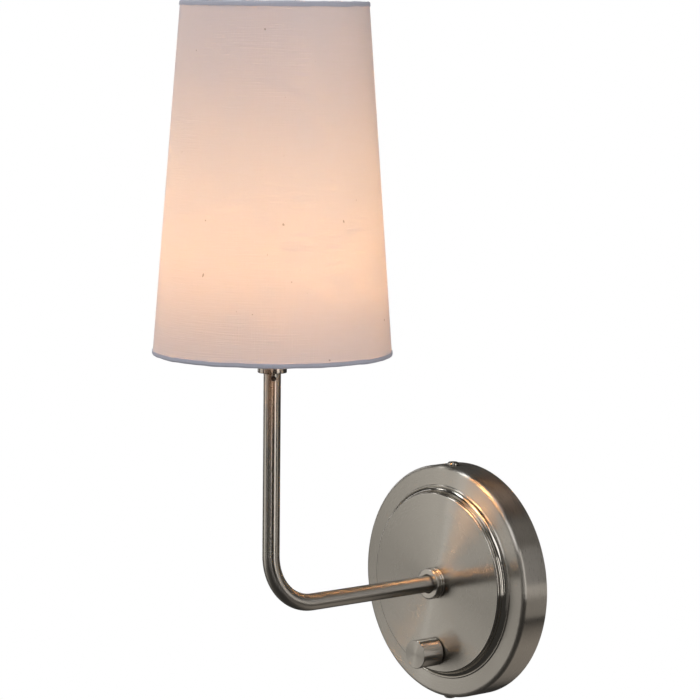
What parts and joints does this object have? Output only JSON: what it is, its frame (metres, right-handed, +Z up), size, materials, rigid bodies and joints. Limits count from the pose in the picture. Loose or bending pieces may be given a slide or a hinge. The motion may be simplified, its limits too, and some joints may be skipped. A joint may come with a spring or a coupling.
{
  "type": "wall sconce",
  "caption": "Hard-wired wall sconce: stepped round canopy with a rotary dimmer knob, bent tube arm, screw-base bulb and tapered fabric drum shade.",
  "frame": {"origin": "the middle of the wall bracket's back face, on the canopy's axis and in the plane of the wall", "axes": "+Y into the wall, -Y out into the room, +Z up along the arm's upright and the shade, +X to the right seen from the wall's room side"},
  "size_m": [0.15, 0.2358, 0.4466],
  "materials": {
    "brushed_nickel": "spun and brushed nickel plate, satin",
    "zinc_steel": "zinc-plated steel",
    "black_steel": "black oxide",
    "brass": "plain brass",
    "aluminium": "plain aluminium",
    "phenolic": "moulded phenolic, satin",
    "linen": "plain-woven linen over a stiff liner",
    "hem_cloth": "woven binding",
    "white_enamel": "white enamel on steel wire",
    "frosted_glass": "frosted bulb glass, lit",
    "clear_glass": "clear stem glass",
    "tungsten": "glowing filament",
    "black_plastic": "insulation",
    "white_plastic": "insulation",
    "green_plastic": "insulation and dyed parts",
    "orange_plastic": "moulded connector"
  },
  "bodies": {
    "lamp": {"canopy_shell": "brushed_nickel", "canopy_screw_top": "brushed_nickel", "canopy_screw_bottom": "brushed_nickel", "arm_tube": "brushed_nickel", "wall_collar": "brushed_nickel", "top_collar": "brushed_nickel", "socket_cap": "brushed_nickel", "wall_bracket": "zinc_steel", "arm_nipple": "zinc_steel", "arm_lock_washer": "zinc_steel", "arm_hex_nut": "zinc_steel", "dimmer_bushing": "zinc_steel", "dimmer_washer": "zinc_steel", "dimmer_nut": "zinc_steel", "socket_nipple": "zinc_steel", "socket_nut": "zinc_steel", "tube_grub_screw": "black_steel", "socket_screw_shell": "brass", "socket_centre_contact": "brass", "bulb_tip": "brass", "bulb_cap": "aluminium", "dimmer_body": "phenolic", "socket_body": "phenolic", "shade_ring_nut": "phenolic", "bulb_insulator": "phenolic", "shade_fabric": "linen", "shade_hem_top": "hem_cloth", "shade_hem_bottom": "hem_cloth", "shade_top_wire": "white_enamel", "shade_bottom_wire": "white_enamel", "shade_fitter_ring": "white_enamel", "shade_spoke_1": "white_enamel", "shade_spoke_2": "white_enamel", "shade_spoke_3": "white_enamel", "bulb_glass": "frosted_glass", "bulb_stem": "clear_glass", "bulb_filament": "tungsten", "wire_bushing": "black_plastic", "lamp_wire_hot": "black_plastic", "dimmer_lead": "black_plastic", "supply_wire_hot": "black_plastic", "lamp_wire_neutral": "white_plastic", "supply_wire_neutral": "white_plastic", "ground_screw": "green_plastic", "supply_wire_ground": "green_plastic", "ground_wire": "green_plastic", "wire_nut_ground": "green_plastic", "wire_nut_hot": "orange_plastic", "wire_nut_neutral": "orange_plastic"},
    "dimmer_knob": {"knob": "brushed_nickel", "dimmer_shaft": "aluminium", "knob_grub_screw": "black_steel"}
  },
  "joints": [
    {"name": "knob_turn", "type": "hinge", "parent": "lamp", "child": "dimmer_knob", "pos_m": [0, -0.036, -0.0447], "axis": [0, -1, 0], "range_deg": [-150, 150]}
  ]
}
